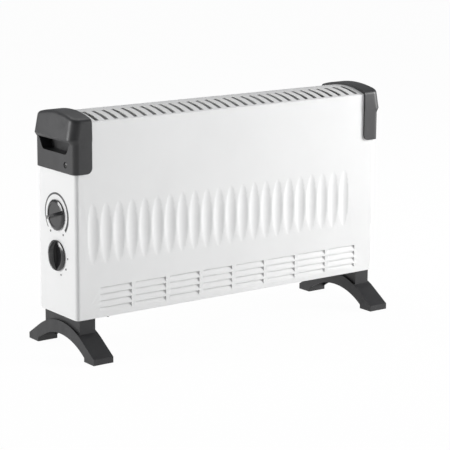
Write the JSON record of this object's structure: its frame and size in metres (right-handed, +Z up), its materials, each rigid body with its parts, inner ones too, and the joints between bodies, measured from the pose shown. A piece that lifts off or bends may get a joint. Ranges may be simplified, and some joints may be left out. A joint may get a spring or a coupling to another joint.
{
  "type": "convector heater",
  "caption": "Free-standing convector heater: pressed sheet casing with louvres and outlet slots, plastic end caps with hand holds, arched feet and two side knobs.",
  "frame": {"origin": "on the floor, in the middle of the overall length and depth", "axes": "+X along the heater away from the controls, -Y the front, +Z up"},
  "size_m": [0.5936, 0.185, 0.364],
  "materials": {
    "casing": "satin white powder coat",
    "plated": "bare zinc-plated sheet",
    "cap": "dark grey satin moulding",
    "foot": "black satin moulding",
    "knob": "polished black moulding",
    "element": "extruded fins, satin",
    "ceramic": "glazed ceramic",
    "screw": "zinc-plated",
    "switch": "moulded switch body",
    "spindle": "turned steel",
    "terminal": "tinned blades",
    "gland": "black nylon"
  },
  "bodies": {
    "heater": {"front_casing": "casing", "back_panel": "casing", "bottom_tray": "plated", "left_cap": "cap", "right_cap": "cap", "cap_screws": "screw", "left_foot": "foot", "right_foot": "foot", "foot_screws": "screw", "back_panel_screws": "screw", "heating_element_front": "element", "heating_element_rear": "element", "element_insulators": "ceramic", "element_terminals": "terminal", "element_bracket_left": "plated", "element_bracket_right": "plated", "control_shield": "plated", "bracket_screws": "screw", "thermal_cutout": "terminal", "heat_shield": "plated", "thermostat_body": "switch", "selector_body": "switch", "switch_terminals": "terminal", "switch_screws": "screw", "terminal_block": "ceramic", "terminal_screws": "screw", "cable_gland": "gland", "gland_nut": "gland"},
    "thermostat_knob": {"thermostat_dial": "knob", "thermostat_spindle": "spindle"},
    "selector_knob": {"selector_dial": "knob", "selector_spindle": "spindle"}
  },
  "joints": [
    {"name": "thermostat_turn", "type": "hinge", "parent": "heater", "child": "thermostat_knob", "pos_m": [-0.28235, 0.001, 0.209], "axis": [1, 0, 0], "range_deg": [-35, 250]},
    {"name": "selector_turn", "type": "hinge", "parent": "heater", "child": "selector_knob", "pos_m": [-0.28235, 0.001, 0.148], "axis": [1, 0, 0], "range_deg": [0, 160]}
  ]
}
